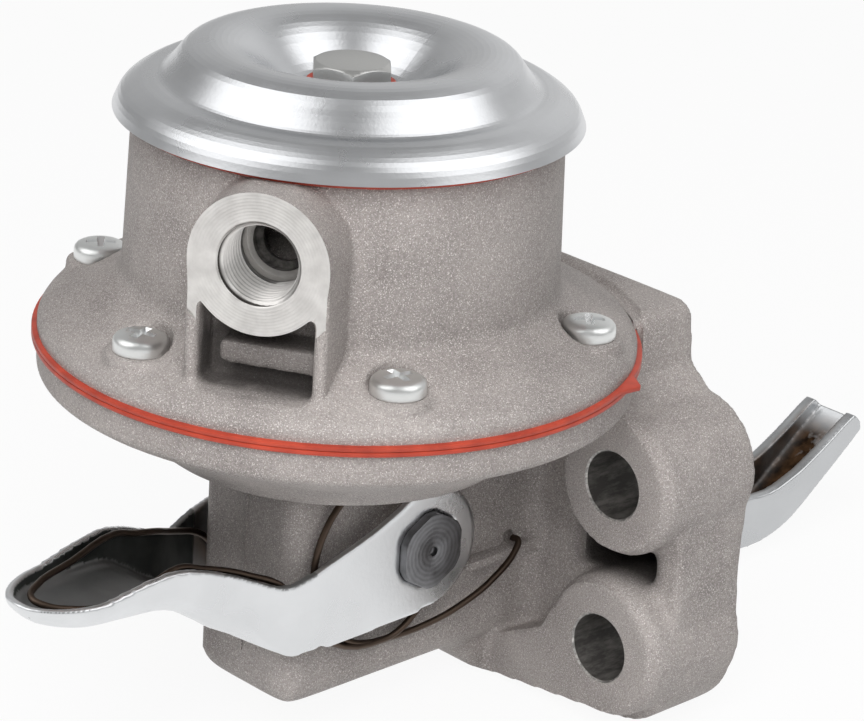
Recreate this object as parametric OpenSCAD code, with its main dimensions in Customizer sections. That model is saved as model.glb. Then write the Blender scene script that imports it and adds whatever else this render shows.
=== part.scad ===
// Mechanical diaphragm fuel pump with a four-hole mounting flange and a hand priming lever.
// The origin is the centre of the four mounting holes on the engine face, +X points into the engine
// and +Z runs up the axis of the diaphragm. Shapes are drawn about the centre of the diaphragm.

/* [Diaphragm joint] */
// Diameter of the two clamped flanges
flange_d = 88; // [86:0.5:92]
// How far the diaphragm sheets show past the flanges
sheet_lip = 0.8; // [0.4:0.1:1.2]
// Thickness of each diaphragm sheet
sheet_t = 0.75; // [0.5:0.05:0.9]
// Radius of the upper flange's rounded edge
edge_r = 3; // [2:0.1:3.4]
// Height of the lower flange at its rim
lower_rim_h = 5.2; // [4.5:0.1:5.6]
// Diameter of the circle of flange screws
screw_circle_d = 75; // [74:0.2:76]
// Thread diameter of the flange screws
screw_d = 4; // [3:0.5:4]
// Head diameter of the flange screws
screw_head_d = 8; // [7:0.1:8.6]
// Head height of the flange screws
screw_head_h = 2.7; // [2.2:0.1:3.2]

/* [Upper body] */
// Diameter of the upper body where it stands on its flange
barrel_d = 64; // [62:0.5:66]
// Draft of the barrel, as the loss in radius to its top
barrel_draft = 0.8; // [0:0.1:1.2]
// Height of the upper body's top face over the diaphragm
body_top = 33.5; // [32:0.5:36]
// Radius of the fuel annulus under the cover
annulus_r = 26.5; // [26:0.1:27.5]
// Radius inside the strainer's ring wall
well_r = 19.5; // [19:0.1:19.8]

/* [Ports] */
// Thread diameter of the inlet and outlet
port_thread_d = 12; // [10:0.5:13]
// Distance of the port faces from the pump axis
port_reach = 39; // [38:0.2:41]
// Height of the port axes over the diaphragm
port_h = 23.5; // [22:0.5:24]
// Radius of the port bosses
port_boss_r = 10; // [9:0.1:10.2]
// Depth of the port threads
port_depth = 9; // [7:0.5:9]
// Bore behind the port threads
port_bore_d = 6.5; // [5:0.1:7]

/* [Cover] */
// Diameter of the pressed cover
cover_d = 68; // [67:0.5:71]
// Sheet thickness of the cover
cover_t = 1.2; // [0.8:0.1:1.4]
// Height of the cover's crest over its rim
cover_h = 10; // [9:0.2:11]
// Radius of the cover's crest
crest_r = 20.5; // [19:0.5:22]
// Across flats of the cover bolt
bolt_af = 11; // [10:0.5:12]
// Thickness of the cover gasket
gasket_t = 0.7; // [0.5:0.1:1]
// Width of the cover gasket
gasket_w = 4.5; // [3.5:0.1:5]

/* [Mounting flange] */
// Distance from the pump axis to the engine face
reach = 48; // [47.5:0.5:52]
// Spacing of the mounting holes across the pump
hole_pitch_y = 62.6; // [61:0.2:66]
// Spacing of the mounting holes up the pump
hole_pitch_z = 26.8; // [26:0.2:29]
// Diameter of the mounting holes
hole_d = 10.5; // [9:0.1:11]
// Depth of the hole pattern's centre under the diaphragm
hole_drop = 34; // [33.5:0.1:34.5]
// Radius of the ears round the holes
ear_r = 10.4; // [9:0.1:11]
// Thickness of the flange plate
plate_t = 14.5; // [12:0.5:15]
// Height of the ears' bosses on the plate
boss_h = 5.5; // [3:0.5:6]

/* [Lower housing] */
// Half width of the lower housing
house_w = 10.5; // [10.2:0.1:11]
// Depth of the housing's bottom under the diaphragm
house_drop = 54; // [53.6:0.2:55]
// Distance from the pump axis to the front of the housing
house_front = 16.4; // [15.8:0.1:16.6]
// How far the housing's foot stands out round it
house_lip = 0.8; // [0.4:0.1:1]
// Half width of the rocker cavity
cavity_w = 7; // [6.8:0.05:7.2]

/* [Rocker] */
// Distance from the pump axis to the rocker pin
pin_x = 25; // [24.6:0.1:25.4]
// Depth of the rocker pin under the diaphragm
pin_drop = 40; // [39.8:0.1:40.4]
// Diameter of the rocker pin
pin_d = 6; // [5:0.1:6.4]
// Half width of the rocker arm
arm_w = 5.5; // [5.3:0.1:5.7]
// Sheet thickness of the rocker arm
arm_t = 2; // [1.6:0.1:2]
// Running clearance of each pivot, as a radius
pivot_gap = 0.05; // [0.02:0.01:0.1]
// Diameter of the pull rod
rod_d = 4; // [3.6:0.1:4.4]

/* [Priming lever] */
// Distance from the pump axis to the priming shaft
shaft_x = 7.2; // [7:0.1:7.6]
// Depth of the priming shaft under the diaphragm
shaft_drop = 31.5; // [31.3:0.1:31.8]
// Diameter of the priming shaft
shaft_d = 12.5; // [12:0.1:12.6]
// Across flats of the shaft's ends
shaft_af = 11.2; // [10.4:0.1:11.4]
// Diameter over the rounded corners of the shaft's ends
shaft_corner_d = 11.9; // [11.6:0.1:12.4]
// Half width over the lever's two plates
lever_w = 14.5; // [14.3:0.1:15.5]
// Sheet thickness of the priming lever
lever_t = 1.3; // [1.2:0.1:1.6]
// Radius of the lever's round end about the shaft
lever_end_r = 9.8; // [9:0.1:10.2]
// Wire diameter of the lever's return spring
wire_d = 1.3; // [1:0.1:1.4]

/* [Hidden] */

$fn = 64;
eps = 0.02;
flange_r = flange_d / 2;
barrel_r = barrel_d / 2;
barrel_top_r = barrel_r - barrel_draft;
screw_r = screw_circle_d / 2;
sheet_r = flange_r + sheet_lip;
plate_x = reach - plate_t;
boss_x = plate_x - boss_h;
hole_y = hole_pitch_y / 2;
hole_top = -hole_drop + hole_pitch_z / 2;
hole_low = -hole_drop - hole_pitch_z / 2;
shaft_r = shaft_d / 2;
pin_r = pin_d / 2;
rod_r = rod_d / 2;
wire_r = wire_d / 2;

// Screws and valves
screw_angles = [for (i = [0:5]) i * 60];
port_angles = [210, 34];
pad_z = 5.8;
pad_r = 5.1;
edge_turn = 62;
edge_side = 0.4;
foot_fillet = 2.6;
port_draft = 0.8;
port_skin = 0.6;
port_chamfer = 0.3;
pocket_wall = 1.9;
pocket_low = 4.6;
pocket_step = 2;
bar_low = 8;
bar_high = 11.3;
partition_z = 7;
partition_t = 7;
valve_r = 6;
valve_x = 12.5;
valve_top = partition_z + partition_t;
disc_r = 4.2;
disc_t = 1;
seat_t = 1.5;
cage_t = 1.2;
disc_gap = 0.02;
tower_r = 8;
tower_top = 29;
pillar_r = 5;
strainer_z = body_top - 3;
strainer_t = 0.8;
ring_t = 2.5;

// Cover heights over the diaphragm
rim_z = body_top + gasket_t;
hem_t = 0.9;
dish_z = rim_z + cover_h - 6.75;
dish_r = 9.5;
washer_t = 1.2;
washer_r = 6.5;
bolt_d = 6;
bolt_head_h = 3.1;
bolt_tip = partition_z + 11;

// Diaphragm pack and pull rod
pack_r = 22;
pack_t = 1;
rivet_r = 3.6;
spring_seat = -18.9;
seal_t = 2.4;
pocket_floor = -22;
pocket_r = 9;
cavity_top = -24.9;
cavity_floor = -house_drop + 3;
neck_r = 1.6;
neck_top = -33;
rod_head_r = 4;
rod_head_t = 2;

// Link lever and arm
link_nose_r = 5;
link_gap = 0.3;
link_eye_r = 4.6;
link_nose_z = -pin_drop + 4;
rod_head_top = link_nose_z - link_nose_r - link_gap;
cheek_w = 3.2;
cheek_t = 1.4;
link_top = -35;
pin_half = 9;
pin_groove = 2.1;
bridge_far = 9.6;
bridge_near = 5.6;
arm_spring_x = 14;
arm_spring_r = 2.5;
arm_wire_r = 0.45;
arm_spring_top = -21.5;

// Priming shaft and lever
cam_r = 4.3;
cam_flat = 2.2;
cam_w = 4.9;
boss_r = 8.8;
lever_gap = 0.3;
boss_face = lever_w - lever_t - lever_gap;
shaft_half = lever_w + 1.2;

// Thickness of the wall between the two flanges' inner gap and the mounting block
rim_gap = 1.6;
block_top = 3;
block_w = 27.3;
foot_low = hole_low - 13.2;
bar_top = foot_low + 7.3;

// Bowl under the diaphragm and foot of the housing
bowl_low = -16;
bowl_low_r = 26.6;
bowl_wall = 3.5;
house_corner = 3;
house_edge = 4;
lip_top = -47.6;

module place() {
    translate([-reach, 0, hole_drop]) children();
}

// Points on an arc in the plane, from one angle to another
function arc(cx, cy, r, a0, a1, n) = [for (i = [0:n]) let (a = a0 + (a1 - a0) * i / n)
    [cx + r * cos(a), cy + r * sin(a)]];

// A smooth curve through a list of points, with n steps between each pair
function spline_point(p0, p1, p2, p3, t) = 0.5 * (2 * p1 + (p2 - p0) * t
    + (2 * p0 - 5 * p1 + 4 * p2 - p3) * t * t + (3 * p1 - p0 - 3 * p2 + p3) * t * t * t);
function smooth(pts, n) = [for (i = [0:len(pts) - 2], j = [0:n - 1])
    spline_point(pts[max(i - 1, 0)], pts[i], pts[i + 1], pts[min(i + 2, len(pts) - 1)], j / n),
    pts[len(pts) - 1]];

// Extrudes a profile of x and z along Y, centred on the pump's middle plane
module along_y(half) {
    translate([0, half, 0]) rotate([90, 0, 0]) linear_extrude(2 * half) children();
}

// Extrudes a profile of y and z along X
module along_x(x0, x1) {
    translate([x0, 0, 0]) rotate([90, 0, 90]) linear_extrude(x1 - x0) children();
}

module rounded_rect(x0, x1, y0, y1, r) {
    translate([x0 + r, y0]) square([x1 - x0 - 2 * r, y1 - y0]);
    translate([x0, y0 + r]) square([x1 - x0, y1 - y0 - 2 * r]);
    for (x = [x0 + r, x1 - r], y = [y0 + r, y1 - r]) translate([x, y]) circle(r);
}

module y_cylinder(x, z, r, half) {
    translate([x, half, z]) rotate([90, 0, 0]) cylinder(r = r, h = 2 * half);
}

// A wire of round section swept along points, with flat ends
function unit(v) = v / norm(v);
function wire_dir(p, i) = unit(p[min(i + 1, len(p) - 1)] - p[max(i - 1, 0)]);
function wire_side(d) = unit(cross(d, abs(d[2]) > 0.9 ? [0, 1, 0] : [0, 0, 1]));
module wire(p, r, sides) {
    rings = [for (i = [0:len(p) - 1]) let (d = wire_dir(p, i), u = wire_side(d), v = cross(u, d))
        for (k = [0:sides - 1]) p[i] + r * (u * cos(360 * k / sides) + v * sin(360 * k / sides))];
    last = (len(p) - 1) * sides;
    walls = [for (i = [0:len(p) - 2], k = [0:sides - 1]) let (a = i * sides, m = (k + 1) % sides)
        [a + k, a + m, a + sides + m, a + sides + k]];
    caps = [[for (k = [0:sides - 1]) sides - 1 - k], [for (k = [0:sides - 1]) last + k]];
    polyhedron(concat(rings), concat(walls, caps), convexity = 8);
}

// Moves a line of points sideways, to the right of its run
function inset(p, t) = [for (i = [0:len(p) - 1]) let (d = wire_dir([for (q = p) [q[0], q[1], 0]], i))
    [p[i][0] + d[1] * t, p[i][1] - d[0] * t]];

// Points up a compression spring with one closed turn at each end
function coil_z(t, turns, h) = t < 1 ? t * 2 * wire_pitch(turns, h) * 0.1
    : t > turns - 1 ? h - (turns - t) * 2 * wire_pitch(turns, h) * 0.1
    : wire_pitch(turns, h) * 0.2 + (t - 1) * (h - wire_pitch(turns, h) * 0.4) / (turns - 2);
function wire_pitch(turns, h) = h / turns;
function coil(r, z0, h, turns, steps) = [for (i = [0:turns * steps]) let (t = i / steps)
    [r * cos(360 * t), r * sin(360 * t), z0 + coil_z(t, turns, h)]];

// Cover

function cover_line() = smooth([[bolt_d / 2 + 0.3, dish_z], [dish_r - 2, dish_z], [dish_r, dish_z + 0.3],
    [crest_r - 6.5, dish_z + 4.4], [crest_r - 3.5, rim_z + cover_h - 0.5], [crest_r, rim_z + cover_h],
    [crest_r + 3.2, rim_z + cover_h - 1], [crest_r + 5.4, rim_z + cover_h - 3.6],
    [crest_r + 6.8, rim_z + 4.9], [crest_r + 8.2, rim_z + 4.6], [cover_d / 2 - 3.6, rim_z + 4.1],
    [cover_d / 2 - 1.2, rim_z + 2.4], [cover_d / 2, rim_z]], 4);

function inner_line(p) = [for (q = inset(p, cover_t)) [max(q[0], bolt_d / 2 + 0.3), max(q[1], rim_z)]];

module cover() {
    line = cover_line();
    under = inner_line(line);
    color("gainsboro") place() {
        rotate_extrude($fn = 96)
            polygon(concat(line, [for (i = [len(under) - 1:-1:0]) under[i]]));
        translate([0, 0, rim_z]) difference() {
            cylinder(r = cover_d / 2 - cover_t * 0.7, h = hem_t);
            translate([0, 0, -1]) cylinder(r = cover_d / 2 - gasket_w - 1.2, h = hem_t + 2);
        }
    }
}

module hex_head(af, h, cut_r) {
    intersection() {
        rotate(49) cylinder(d = af / cos(30), h = h, $fn = 6);
        union() {
            cylinder(r = cut_r + 1.5, h = h - 0.7);
            translate([0, 0, h - 0.7 - eps]) cylinder(r1 = cut_r + 0.85, r2 = cut_r - 0.3, h = 0.7 + eps);
        }
    }
}

module cover_bolt() {
    color("silver") place() {
        translate([0, 0, dish_z + washer_t]) hex_head(bolt_af, bolt_head_h, bolt_af / 2);
        translate([0, 0, bolt_tip]) cylinder(d = bolt_d, h = dish_z + washer_t - bolt_tip + 0.5);
    }
}

module bolt_seal_washer() {
    color("firebrick") place() translate([0, 0, dish_z]) difference() {
        cylinder(r = washer_r, h = washer_t);
        translate([0, 0, -1]) cylinder(d = bolt_d + 0.2, h = washer_t + 2);
    }
}

module cover_gasket() {
    color("firebrick") place() translate([0, 0, body_top]) difference() {
        cylinder(r = cover_d / 2 - 1.2, h = gasket_t);
        translate([0, 0, -1]) cylinder(r = cover_d / 2 - 1.2 - gasket_w, h = gasket_t + 2);
    }
}

module strainer() {
    color("goldenrod") place() translate([0, 0, strainer_z]) difference() {
        cylinder(r = well_r + ring_t, h = strainer_t);
        translate([0, 0, -1]) cylinder(d = bolt_d + 0.6, h = strainer_t + 2);
        for (ring = [8, 12, 16], i = [0:ring * 1.5 - 1])
            rotate(360 / (ring * 1.5) * i) translate([ring, 0, -1])
                cylinder(d = 2, h = strainer_t + 2, $fn = 4);
    }
}

// Upper body

// The flange falls from a fillet at the barrel's foot in one slope to a rounded edge
module upper_profile() {
    edge = [flange_r - edge_r, sheet_t + edge_side];
    start = edge + edge_r * [cos(edge_turn), sin(edge_turn)];
    foot_x = barrel_r + foot_fillet;
    rise = (start[0] - foot_x + foot_fillet * cos(edge_turn)) / tan(edge_turn);
    foot_z = start[1] + rise + foot_fillet * sin(edge_turn);
    polygon(concat([[0, sheet_t], [flange_r, sheet_t]], arc(edge[0], edge[1], edge_r, 0, edge_turn, 6),
        arc(foot_x, foot_z, foot_fillet, 180 + edge_turn, 180, 5),
        [[barrel_top_r, body_top], [0, body_top]]));
}

// Runs a shape out along a port's axis from the pump axis
module port_frame(i) {
    translate([0, 0, port_h]) rotate(port_angles[i]) rotate([0, 90, 0]) children();
}

// A boss with draft on its sides, a web down to the flange and a machined ring at its face
module port_boss(i) {
    back = barrel_r - 8;
    front = port_reach - port_skin;
    wide = port_boss_r + port_draft;
    narrow = port_boss_r + 0.2;
    low = port_h - sheet_t - 1;
    port_frame(i) {
        translate([0, 0, back]) cylinder(r1 = wide, r2 = narrow, h = front - back);
        rotate([0, 90, 0]) linear_extrude(low)
            polygon([[-back, -wide], [-front, -narrow], [-front, narrow], [-back, wide]]);
        translate([0, 0, front - 1]) cylinder(r = port_boss_r - 0.1, h = port_skin + 1);
    }
}

// The cored pocket under a port, with its flat bar
module port_pocket(i) {
    half = port_boss_r + 0.2 - pocket_wall;
    back = barrel_r + 0.6;
    port_frame(i) difference() {
        translate([0, 0, back]) linear_extrude(flange_r - back - 2) difference() {
            rounded_rect(4, port_h - pocket_low, -half, half, 1.2);
            circle(port_boss_r - 0.7);
        }
        translate([0, 0, barrel_r]) linear_extrude(port_reach - barrel_r - pocket_step)
            rounded_rect(port_h - bar_high, port_h - bar_low, -half + 2.6, half + 2, 0.8);
    }
}

module port_bore(i) {
    port_frame(i) {
        translate([0, 0, port_reach - port_depth]) cylinder(d = port_thread_d, h = port_depth + 1);
        translate([0, 0, port_reach - port_chamfer])
            cylinder(d1 = port_thread_d, d2 = port_thread_d + 4 * port_chamfer, h = 2 * port_chamfer);
        translate([0, 0, port_reach - port_depth - 1.6]) cylinder(d = port_thread_d - 1.6, h = port_depth);
        translate([0, 0, port_reach - port_depth - 2.7]) cylinder(d = port_bore_d + 2, h = port_depth);
    }
}

module valve_at(i) {
    rotate(port_angles[i]) translate([valve_x, 0, 0]) children();
}

// The annulus and the well, round the bolt pillar, the ring wall and the outlet tower
module fuel_space() {
    wall_h = strainer_z - valve_top;
    translate([0, 0, valve_top]) difference() {
        cylinder(r = annulus_r, h = body_top);
        cylinder(r = pillar_r, h = wall_h);
        difference() {
            cylinder(r = well_r + ring_t, h = wall_h);
            translate([0, 0, -1]) cylinder(r = well_r, h = body_top);
        }
        valve_at(1) cylinder(r = tower_r, h = tower_top - valve_top);
        rotate(port_angles[1]) translate([well_r, -port_bore_d / 2 - 2, 0])
            cube([annulus_r - well_r + 2, port_bore_d + 4, tower_top - valve_top]);
    }
}

module upper_body() {
    color("rosybrown") place() difference() {
        union() {
            rotate_extrude($fn = 96) upper_profile();
            for (a = screw_angles) rotate(a) translate([screw_r, 0, sheet_t + 0.2])
                cylinder(r = pad_r, h = pad_z - sheet_t - 0.2);
            for (i = [0, 1]) port_boss(i);
        }
        fuel_space();
        translate([0, 0, body_top]) cylinder(r = flange_r, h = 5);
        translate([0, 0, -1]) cylinder(r = 31, h = partition_z + 1);
        for (i = [0, 1]) {
            valve_at(i) translate([0, 0, partition_z - 1]) cylinder(r = valve_r, h = partition_t + 2);
            port_bore(i);
            port_pocket(i);
        }
        port_frame(0) translate([0, 0, annulus_r - 2]) cylinder(d = port_bore_d, h = port_reach);
        port_frame(1) translate([0, 0, valve_x]) cylinder(d = port_bore_d, h = port_reach - valve_x);
        valve_at(1) translate([0, 0, valve_top - 1])
            cylinder(r = valve_r - 0.8, h = tower_top - valve_top - 1);
        translate([0, 0, bolt_tip - 3]) cylinder(d = bolt_d, h = body_top);
        for (a = screw_angles) rotate(a) translate([screw_r, 0, -1])
            cylinder(d = screw_d + 0.3, h = pad_z + 4);
        for (a = screw_angles) rotate(a) translate([screw_r, 0, pad_z])
            cylinder(r = screw_head_d / 2 + 0.45, h = 12);
    }
}

// A valve unit is drawn for flow up through its seat, and the inlet's is turned over
module valve_unit(i) {
    valve_at(i) translate([0, 0, partition_z + partition_t / 2]) rotate([i == 0 ? 180 : 0, 0, 0])
        translate([0, 0, -partition_t / 2]) children();
}

module valve_seat() {
    difference() {
        cylinder(r = valve_r, h = partition_t - cage_t);
        translate([0, 0, seat_t]) cylinder(r = valve_r - 1.2, h = partition_t);
        translate([0, 0, -1]) cylinder(r = 2.6, h = partition_t);
    }
}

module valve_disc() {
    translate([0, 0, seat_t + disc_gap]) cylinder(r = disc_r, h = disc_t);
}

module valve_spring() {
    z0 = seat_t + disc_gap + disc_t;
    room = partition_t - cage_t - z0;
    wire(coil(2.2, z0 + 0.25, room - 0.5, 4, 12), 0.2, 5);
}

module valve_cage() {
    translate([0, 0, partition_t - cage_t]) difference() {
        cylinder(r = valve_r, h = cage_t);
        for (a = [0:120:240]) rotate(a) translate([3.7, 0, -1]) cylinder(r = 1.2, h = cage_t + 2, $fn = 24);
        translate([0, 0, -1]) cylinder(r = 1, h = cage_t + 2, $fn = 24);
    }
}

module inlet_valve_seat() { color("peru") place() valve_unit(0) valve_seat(); }
module inlet_valve_disc() { color("dimgray") place() valve_unit(0) valve_disc(); }
module inlet_valve_spring() { color("silver") place() valve_unit(0) valve_spring(); }
module inlet_valve_cage() { color("peru") place() valve_unit(0) valve_cage(); }
module outlet_valve_seat() { color("peru") place() valve_unit(1) valve_seat(); }
module outlet_valve_disc() { color("dimgray") place() valve_unit(1) valve_disc(); }
module outlet_valve_spring() { color("silver") place() valve_unit(1) valve_spring(); }
module outlet_valve_cage() { color("peru") place() valve_unit(1) valve_cage(); }

module flange_screws() {
    tip = -sheet_t - lower_rim_h - 2.2;
    top = pad_z + screw_head_h;
    color("lightsteelblue") place() for (a = screw_angles) rotate(a) translate([screw_r, 0, 0]) difference() {
        union() {
            rotate_extrude() polygon(concat([[0, pad_z], [screw_head_d / 2, pad_z],
                [screw_head_d / 2, pad_z + screw_head_h - 1.2]],
                arc(screw_head_d / 2 - 1.2, pad_z + screw_head_h - 1.2, 1.2, 15, 90, 5),
                [[0, pad_z + screw_head_h]]));
            translate([0, 0, tip]) cylinder(d = screw_d, h = pad_z - tip + 0.2);
        }
        for (t = [20, 110]) rotate(t) intersection() {
            translate([-screw_head_d / 2, -0.5, top - 1.6]) cube([screw_head_d, 1, 2]);
            translate([0, 0, top - 1.6]) cylinder(r1 = 1, r2 = screw_head_d * 0.31, h = 1.6 + eps);
        }
        translate([0, 0, top - 1.6]) cylinder(r1 = 0.6, r2 = screw_head_d * 0.2, h = 1.6 + eps);
    }
}

// Diaphragm pack

module sheet(z0, tab) {
    translate([0, 0, z0]) difference() {
        union() {
            cylinder(r = sheet_r, h = sheet_t, $fn = 96);
            if (tab) rotate(-64) linear_extrude(sheet_t)
                polygon([[sheet_r - 1, -4.6], [sheet_r + 1.9, 0], [sheet_r - 1, 4.6]]);
        }
        translate([0, 0, -1]) cylinder(r = rod_r + 0.05, h = sheet_t + 2);
        for (a = screw_angles) rotate(a) translate([screw_r, 0, -1])
            cylinder(d = screw_d + 0.3, h = sheet_t + 2);
    }
}

module diaphragm() { color("orangered") place() sheet(0, true); }
module diaphragm_backing() { color("orangered") place() sheet(-sheet_t, false); }

module pack_plate() {
    difference() {
        rotate_extrude() polygon([[0, 0], [pack_r - 2, 0], [pack_r, 1.2], [pack_r - 0.6, 1.2 + pack_t * 0.8],
            [pack_r - 2.4, pack_t], [0, pack_t]]);
        translate([0, 0, -1]) cylinder(r = rod_r + 0.05, h = pack_t + 2);
    }
}

module upper_plate() { color("lightgray") place() translate([0, 0, sheet_t]) pack_plate(); }
module lower_plate() {
    color("lightgray") place() translate([0, 0, -sheet_t]) mirror([0, 0, 1]) pack_plate();
}

module pull_rod() {
    color("slategray") place() {
        translate([0, 0, sheet_t + pack_t]) cylinder(r = rivet_r, h = 1.2);
        translate([0, 0, neck_top]) cylinder(r = rod_r, h = sheet_t + pack_t - neck_top + 0.5);
        translate([0, 0, rod_head_top - 0.5]) cylinder(r = neck_r, h = neck_top - rod_head_top + 1);
        translate([0, 0, rod_head_top - rod_head_t]) cylinder(r = rod_head_r, h = rod_head_t);
    }
}

module diaphragm_spring() {
    top = -sheet_t - pack_t;
    color("gray") place() wire(coil(7.2, spring_seat + 0.85, top - spring_seat - 1.7, 5, 18), 0.8, 8);
}

module rod_seal() {
    color("dimgray") place() translate([0, 0, pocket_floor]) difference() {
        cylinder(r = 6, h = seal_t);
        translate([0, 0, -1]) cylinder(r = rod_r + 0.05, h = seal_t + 2);
    }
}

module seal_retainer() {
    color("lightgray") place() translate([0, 0, pocket_floor]) difference() {
        cylinder(r = pocket_r, h = spring_seat - pocket_floor);
        translate([0, 0, -1]) cylinder(r = 6, h = seal_t + 1);
        translate([0, 0, -1]) cylinder(r = rod_r + 0.6, h = 8);
    }
}

// Lower body

module bowl_profile() {
    edge = -sheet_t - lower_rim_h;
    polygon([[0, -sheet_t], [0, bowl_low], [bowl_low_r, bowl_low], [bowl_low_r + 2.4, bowl_low + 2],
        [screw_r - 2.3, bowl_low + 6], [flange_r - 1, edge], [flange_r, edge + 0.8], [flange_r, -sheet_t]]);
}

// Right half of the mounting flange's outline, seen along X from its top to its foot
function mount_side() = concat(arc(block_w - 3, block_top - 3, 3, 90, 0, 5), [[block_w + 0.7, -6.2]],
    arc(hole_y + 0.8, hole_top - 0.8, 9.2, 51, 0, 6), arc(hole_y, hole_low - 3, 10.2, 0, -90, 8));

function mirrored(p) = [for (i = [len(p) - 1:-1:0]) [-p[i][0], p[i][1]]];

module mount_outline() {
    polygon(concat(mount_side(), mirrored(mount_side())));
}

// The ears' bosses with the bar that joins the lower two
module ear_bosses() {
    bar = [[9.6, bar_top], [19, bar_top + 4.7], [21, bar_top + 9], [hole_y, hole_low],
        [hole_y, hole_low - ear_r], [8, foot_low]];
    along_x(boss_x, plate_x + 1) {
        for (s = [-1, 1]) {
            translate([s * hole_y, hole_top]) circle(ear_r);
            translate([s * hole_y, hole_low]) circle(ear_r);
            polygon([[s * (block_w - 6), -8], [s * (block_w + 0.4), -6.4],
                [s * (hole_y + ear_r * cos(51)), hole_top + ear_r * sin(51)],
                [s * (hole_y - ear_r), hole_top]]);
        }
        polygon(concat(bar, mirrored(bar)));
    }
}

// Fills the upright corner between a side wall and the flange plate
module corner_fillet(s, r) {
    translate([plate_x, s * house_w]) difference() {
        translate([-r, s > 0 ? -1 : -r]) square([r + 1, r + 1]);
        translate([-r, s * r]) circle(r);
    }
}

// A block of the housing's plan, wider all round by grow, with rounded lower edges and a tapered top
module housing_part(grow, top) {
    x0 = -house_front - grow;
    w = house_w + grow;
    side = arc(w - house_edge, house_edge - house_drop, house_edge, 270, 360, 6);
    rim = [[w, top - 1 - 3 * grow], [w - grow, top]];
    intersection() {
        translate([0, 0, -house_drop]) linear_extrude(house_drop + top)
            rounded_rect(x0, plate_x + 5, -w, w, house_corner);
        along_y(w + 1) polygon(concat(arc(x0 + house_edge, house_edge - house_drop, house_edge, 270, 180, 6),
            [[x0, top - 1 - 3 * grow], [x0 + grow, top], [plate_x + 5, top], [plate_x + 5, -house_drop]]));
        along_x(x0 - 1, plate_x + 6) polygon(concat(side, rim, mirrored(concat(side, rim))));
    }
}

module lower_body() {
    color("rosybrown") place() difference() {
        union() {
            rotate_extrude($fn = 96) bowl_profile();
            housing_part(0, -8);
            housing_part(house_lip, lip_top);
            difference() {
                union() {
                    along_x(plate_x, reach) mount_outline();
                    ear_bosses();
                }
                translate([0, 0, -sheet_t - 4.5]) cylinder(r = flange_r + rim_gap, h = 20, $fn = 96);
            }
            translate([0, 0, -house_drop + 1]) linear_extrude(house_drop - 9)
                for (s = [-1, 1]) corner_fillet(s, 3.4);
            y_cylinder(shaft_x, -shaft_drop, boss_r, boss_face);
            for (s = [-1, 1]) translate([18, s > 0 ? house_w - 1 : -house_w - 2.2, -pin_drop + 0.6])
                cube([plate_x - 17, 3.2, 2]);
            gusset();
        }
        translate([0, 0, bowl_low + bowl_wall])
            cylinder(r1 = bowl_low_r - 2, r2 = 31, h = -bowl_low - bowl_wall + 1);
        translate([0, 0, pocket_floor]) cylinder(r = pocket_r, h = 30);
        cylinder(r = rod_r + 0.08, h = 80, center = true);
        cavity();
        y_cylinder(shaft_x, -shaft_drop, shaft_r + pivot_gap, 20);
        for (s = [-1, 1], z = [hole_top, hole_low]) translate([boss_x - 6, s * hole_y, z])
            rotate([0, 90, 0]) cylinder(d = hole_d, h = reach - boss_x + 7);
        for (s = [-1, 1], z = [hole_top, hole_low]) translate([boss_x - 12, s * hole_y, z])
            rotate([0, 90, 0]) cylinder(r = ear_r - 0.4, h = 12);
        for (a = screw_angles) rotate(a) translate([screw_r, 0, bowl_low + 4]) cylinder(d = screw_d, h = 16);
        for (s = [-1, 1]) translate([28.5, s * (house_w + 1.4), -pin_drop + 3.4])
            rotate([90, 0, 0]) cylinder(r = 1, h = 4, center = true);
    }
}

// Web under the housing that carries its floor down to the foot of the flange
module gusset() {
    along_y(house_w - 2.4) polygon([[plate_x + 2, -house_drop + 2], [18.5, -house_drop + 1],
        [20.5, -house_drop - 1.2], [22.6, -house_drop - 3.2], [25.3, foot_low + 1.4], [boss_x, foot_low],
        [plate_x + 2, foot_low]]);
}

// The space that the rocker, link and shaft work in, open to the engine
module cavity() {
    along_y(cavity_w) {
        translate([-house_front + 3.6, cavity_floor])
            square([house_front - 3.6 + 18.5, -cavity_floor + cavity_top]);
        translate([18, cavity_floor]) square([reach - 16, arm_spring_top - cavity_floor]);
    }
    for (s = [-1, 1]) translate([pin_x, s > 0 ? 0 : -cavity_w - pin_groove, -pin_drop - pin_r])
        cube([reach, cavity_w + pin_groove, pin_d]);
    y_cylinder(pin_x, -pin_drop, pin_r, cavity_w + pin_groove);
}

// Rocker and link

function arm_low() = [[pin_x + 4.6, -pin_drop - 4.2], [reach - 2, -pin_drop - 10],
    [reach + 20, -pin_drop - 14.2], [reach + 38, -pin_drop - 17], [reach + 45, -pin_drop - 18],
    [reach + 51, -pin_drop - 17.2], [reach + 56, -pin_drop - 15.2], [reach + 62, -pin_drop - 11],
    [reach + 70, -pin_drop - 5], [reach + 72.4, -pin_drop - 3]];
function arm_high() = [[reach + 72.2, -pin_drop - 1.6], [reach + 71, -pin_drop - 0.4],
    [reach + 69.4, -pin_drop - 0.3], [reach + 62, -pin_drop - 4.6], [reach + 55, -pin_drop - 7.8],
    [reach + 46, -pin_drop - 9], [reach + 20, -pin_drop - 5], [pin_x + 5, -pin_drop + 4.2]];

module arm_side() {
    polygon(concat(smooth(arm_low(), 4), smooth(arm_high(), 4)));
    translate([pin_x, -pin_drop]) circle(6.2);
    polygon([[pin_x, -pin_drop + 6.2], [pin_x - 9, -pin_drop + 7.4], [pin_x - bridge_far, -pin_drop + 4],
        [pin_x - 4, -pin_drop - 3]]);
}

module arm_bridge() {
    under = link_top - 0.2;
    polygon([[pin_x - bridge_far, under + 2.2], [pin_x - bridge_far, under], [pin_x - bridge_near, under],
        [pin_x - bridge_near, under + 2]]);
}

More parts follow.
